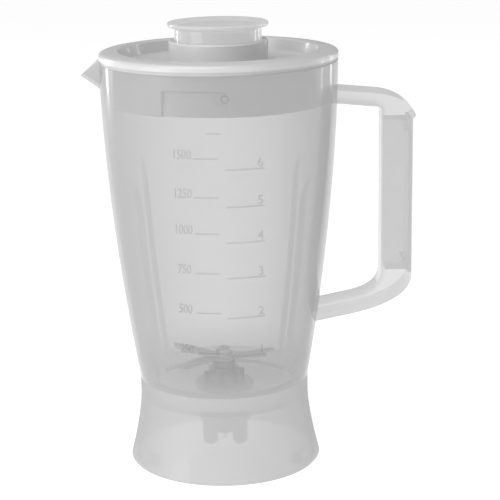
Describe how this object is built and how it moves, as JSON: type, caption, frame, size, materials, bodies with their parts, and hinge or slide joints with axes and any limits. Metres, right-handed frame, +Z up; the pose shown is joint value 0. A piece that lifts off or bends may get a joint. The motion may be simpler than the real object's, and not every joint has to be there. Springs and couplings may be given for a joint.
{
  "type": "blender jug",
  "caption": "Tall tapered jug with side handle, pouring lip, flared base collar with spinning blade unit, recessed twist lid and hollow filler cap.",
  "frame": {"origin": "centre of the foot, on the surface it stands on", "axes": "+Z up along the axis of the jug and the blade spindle, +X towards the handle, -X towards the spout, -Y towards the measuring scale"},
  "size_m": [0.1927, 0.1382, 0.2623],
  "materials": {
    "clear_plastic": "translucent, polished",
    "frosted_plastic": "frosted",
    "cap_plastic": "clear, lightly smoked",
    "lid_plastic": "satin",
    "holder_plastic": "moulded",
    "coupling_plastic": "moulded",
    "seal_rubber": "soft",
    "bronze": "sintered",
    "steel": "turned",
    "blade_steel": "polished edge"
  },
  "bodies": {
    "base": {"base_collar": "frosted_plastic", "blade_holder": "holder_plastic", "holder_seal": "seal_rubber", "holder_nut": "holder_plastic", "upper_bush": "bronze", "lower_bush": "bronze", "shaft_seal": "seal_rubber"},
    "blade_shaft": {"spindle": "steel", "blade_spacer": "steel", "lower_blade": "blade_steel", "upper_blade": "blade_steel", "lock_washer": "steel", "cap_nut": "steel", "thrust_washer": "bronze", "circlip": "steel", "drive_coupling": "coupling_plastic"},
    "jug_seal": {"jug_seal": "seal_rubber"},
    "jug": {"jug_body": "clear_plastic", "jug_handle": "clear_plastic", "handle_cover": "clear_plastic"},
    "lid_seal": {"lid_seal": "seal_rubber"},
    "lid": {"lid": "lid_plastic"},
    "cap": {"filler_cap": "cap_plastic"}
  },
  "joints": [
    {"name": "blade_spin", "type": "hinge", "parent": "base", "child": "blade_shaft", "pos_m": [0, 0, 0.05], "axis": [0, 0, 1], "continuous": true},
    {"name": "jug_twist", "type": "hinge", "parent": "base", "child": "jug_seal", "pos_m": [0, 0, 0.05], "axis": [0, 0, 1], "range_deg": [0, 30]},
    {"name": "jug_lift", "type": "slide", "parent": "jug_seal", "child": "jug", "axis": [0, 0, 1], "range_m": [0, 0.08]},
    {"name": "lid_lift", "type": "slide", "parent": "jug", "child": "lid_seal", "axis": [0, 0, 1], "range_m": [0, 0.06]},
    {"name": "lid_twist", "type": "hinge", "parent": "lid_seal", "child": "lid", "pos_m": [0, 0, 0.24], "axis": [0, 0, 1], "range_deg": [0, 25]},
    {"name": "cap_lift", "type": "slide", "parent": "lid", "child": "cap", "axis": [0, 0, 1], "range_m": [0, 0.045]}
  ]
}
